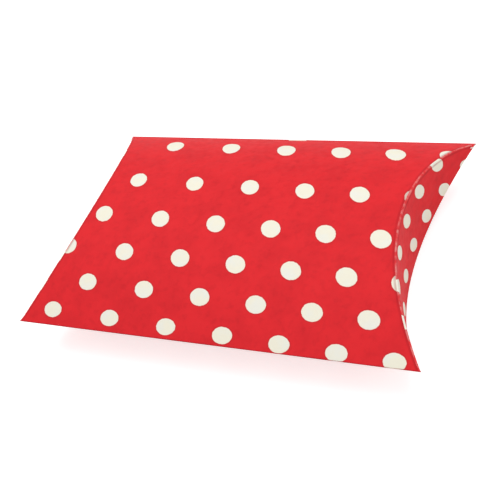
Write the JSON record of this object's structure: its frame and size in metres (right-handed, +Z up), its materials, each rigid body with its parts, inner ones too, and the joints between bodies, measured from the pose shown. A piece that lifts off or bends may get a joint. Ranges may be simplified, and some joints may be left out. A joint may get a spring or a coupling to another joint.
{
  "type": "pillow box",
  "caption": "Paperboard pillow box with bowed panels, sharp straight sides and curved tuck-in end flaps that swing open, printed all over with polka dots.",
  "frame": {"origin": "under the middle of the box, on the surface that the back panel's crown rests on", "axes": "+X along the straight side folds, +Y across them towards the glued seam, +Z up out of the front panel"},
  "size_m": [0.1, 0.07, 0.0199],
  "materials": {
    "printed_board": "satin red print with white dots, uncoated pale inside",
    "crushed_crease": "crushed fold in the printed board",
    "plain_board": "uncoated pale board",
    "adhesive": "dry translucent glue"
  },
  "bodies": {
    "carton": {"front_panel": "printed_board", "back_panel": "printed_board", "side_fold": "printed_board", "seam_fold": "printed_board", "glue_tab": "plain_board", "glue_line": "adhesive", "right_front_score": "crushed_crease", "right_back_score": "crushed_crease", "left_front_score": "crushed_crease", "left_back_score": "crushed_crease"},
    "right_outer": {"right_outer_flap": "printed_board"},
    "right_inner": {"right_inner_flap": "printed_board"},
    "left_outer": {"left_outer_flap": "printed_board"},
    "left_inner": {"left_inner_flap": "printed_board"}
  },
  "joints": [
    {"name": "right_outer_hinge", "type": "hinge", "parent": "carton", "child": "right_outer", "pos_m": [0.04, 0, 0.01988], "axis": [0, -1, 0], "range_deg": [0, 100]},
    {"name": "right_inner_hinge", "type": "hinge", "parent": "carton", "child": "right_inner", "pos_m": [0.03935, 0, 0], "axis": [0, 1, 0], "range_deg": [0, 45]},
    {"name": "left_outer_hinge", "type": "hinge", "parent": "carton", "child": "left_outer", "pos_m": [-0.04, 0, 0.01988], "axis": [0, 1, 0], "range_deg": [0, 100]},
    {"name": "left_inner_hinge", "type": "hinge", "parent": "carton", "child": "left_inner", "pos_m": [-0.03935, 0, 0], "axis": [0, -1, 0], "range_deg": [0, 45]}
  ],
  "couplings": [
    {"joint": "right_inner_hinge", "follows": "right_outer_hinge", "ratio": 0.45},
    {"joint": "left_inner_hinge", "follows": "left_outer_hinge", "ratio": 0.45}
  ]
}
